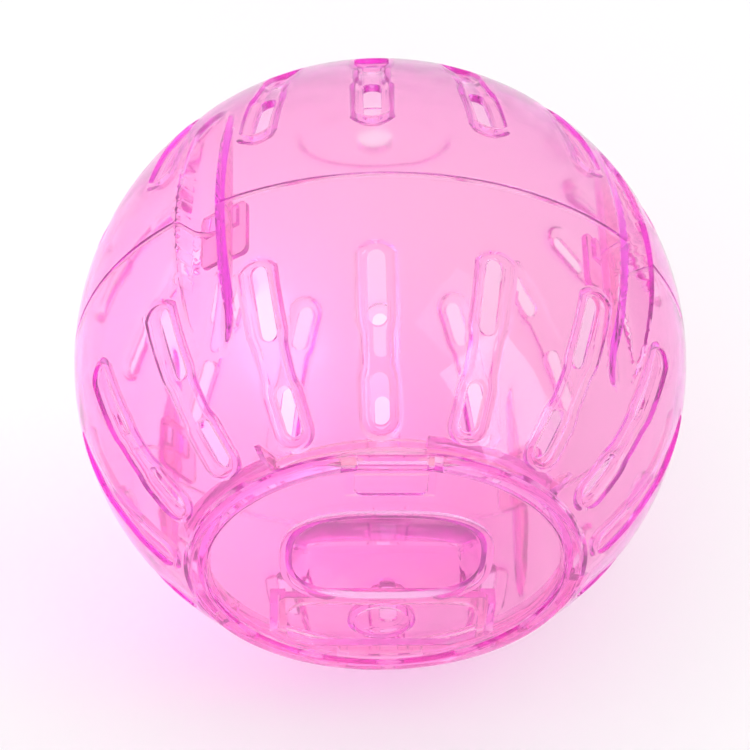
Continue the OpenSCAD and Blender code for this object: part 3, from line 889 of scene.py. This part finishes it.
def camera():
    """Camera with the photograph's view: 54 degrees above the door's axis, nearly no roll."""
    data = bpy.data.cameras.new("camera")
    obj = bpy.data.objects.new("camera", data)
    bpy.context.scene.collection.objects.link(obj)
    away = Vector((0, -math.cos(CAMERA_RISE), math.sin(CAMERA_RISE)))
    aim = (-away).to_track_quat("-Z", "Y").to_matrix().to_4x4()
    roll = Matrix.Rotation(-CAMERA_ROLL, 4, "Z")
    turn = Matrix.Rotation(-CAMERA_TURN, 4, "Y")
    obj.matrix_world = turn @ Matrix.Translation(away * CAMERA_DISTANCE) @ aim @ roll
    data.sensor_width = 36
    data.lens = CAMERA_LENS
    data.shift_x, data.shift_y = CAMERA_SHIFT
    data.clip_start = 0.01
    data.clip_end = 20
    bpy.context.scene.camera = obj


def area_light(name, place, size, power):
    """Soft light aimed at the ball's centre."""
    data = bpy.data.lights.new(name, "AREA")
    data.shape = "RECTANGLE"
    data.size, data.size_y = size
    data.energy = power
    obj = bpy.data.objects.new(name, data)
    bpy.context.scene.collection.objects.link(obj)
    place = Vector(place)
    obj.matrix_world = Matrix.Translation(place) @ (-place).to_track_quat("-Z", "Y").to_matrix().to_4x4()
    return obj


def white_floor():
    """Plain white floor that the ball stands on."""
    bm = bmesh.new()
    bmesh.ops.create_grid(bm, x_segments=1, y_segments=1, size=FLOOR_REACH,
                          matrix=Matrix.Translation((0, 0, FLOOR_HEIGHT)))
    floor = bpy.data.objects.new("floor", bpy.data.meshes.new("floor"))
    bm.to_mesh(floor.data)
    bm.free()
    bpy.context.scene.collection.objects.link(floor)
    white = bpy.data.materials.new("floor_white")
    white.use_nodes = True
    base = white.node_tree.nodes["Principled BSDF"]
    base.inputs["Base Color"].default_value = FLOOR_WHITE
    base.inputs["Roughness"].default_value = 0.8
    base.inputs["Specular IOR Level"].default_value = 0
    floor.data.materials.append(white)


def studio():
    """White floor, even white surroundings, a soft key light, and a gleam seen only as a reflection."""
    scene = bpy.context.scene
    scene.world = bpy.data.worlds.new("studio")
    scene.world.use_nodes = True
    sky = scene.world.node_tree.nodes["Background"]
    sky.inputs["Color"].default_value = (1, 1, 1, 1)
    sky.inputs["Strength"].default_value = 1
    white_floor()
    area_light("key", KEY_PLACE, KEY_SIZE, KEY_POWER)
    gleam = area_light("gleam", GLEAM_PLACE, GLEAM_SIZE, GLEAM_POWER)
    gleam.visible_diffuse = False
    gleam.visible_transmission = False
    gleam.visible_volume_scatter = False
    scene.view_settings.view_transform = "Standard"
    scene.cycles.max_bounces = BOUNCES
    scene.cycles.glossy_bounces = BOUNCES
    scene.cycles.transmission_bounces = BOUNCES
    scene.cycles.transparent_max_bounces = BOUNCES


SHELL_PINK = clear_plastic("shell_pink", SHELL_TINT, SHELL_DENSITY, SHELL_SOFT)
DOOR_PINK = clear_plastic("door_pink", DOOR_TINT, DOOR_DENSITY)

camera()
studio()

front = half_shell("front_half_shell")
rear = front.copy()
rear.name = "rear_half_shell"
rear.data = front.data.copy()
bpy.context.scene.collection.objects.link(rear)
front_half(front)
rear_half(rear)
BALL_SPHERES = [BALL_R, BALL_R - WALL, BALL_R - CHANNEL_DEPTH, BALL_R - CHANNEL_DEPTH - WALL,
                BALL_R - OVAL_DEPTH, BALL_R - OVAL_DEPTH - WALL]
for obj, name, body, node, slot, mat, spheres in (
        (front, "front_half_shell", "front_half", "front_shell", "shell", SHELL_PINK, BALL_SPHERES),
        (rear, "rear_half_shell", "rear_half", "rear_shell", "shell", SHELL_PINK, BALL_SPHERES),
        (door_ring(), "twist_ring", "ring", "door_ring", "door_ring", DOOR_PINK, ()),
        (door(), "hinged_door", "lid", "door", "door", DOOR_PINK, ()),
        (latch(), "latch_plate", "slider", "latch", "latch", DOOR_PINK, ())):
    shade(obj, spheres)
    turned(obj, TO_FRAME)
    obj.name = obj.data.name = name
    obj.data.materials.clear()
    obj.data.materials.append(mat)
    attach(obj, body)
    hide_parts(node)
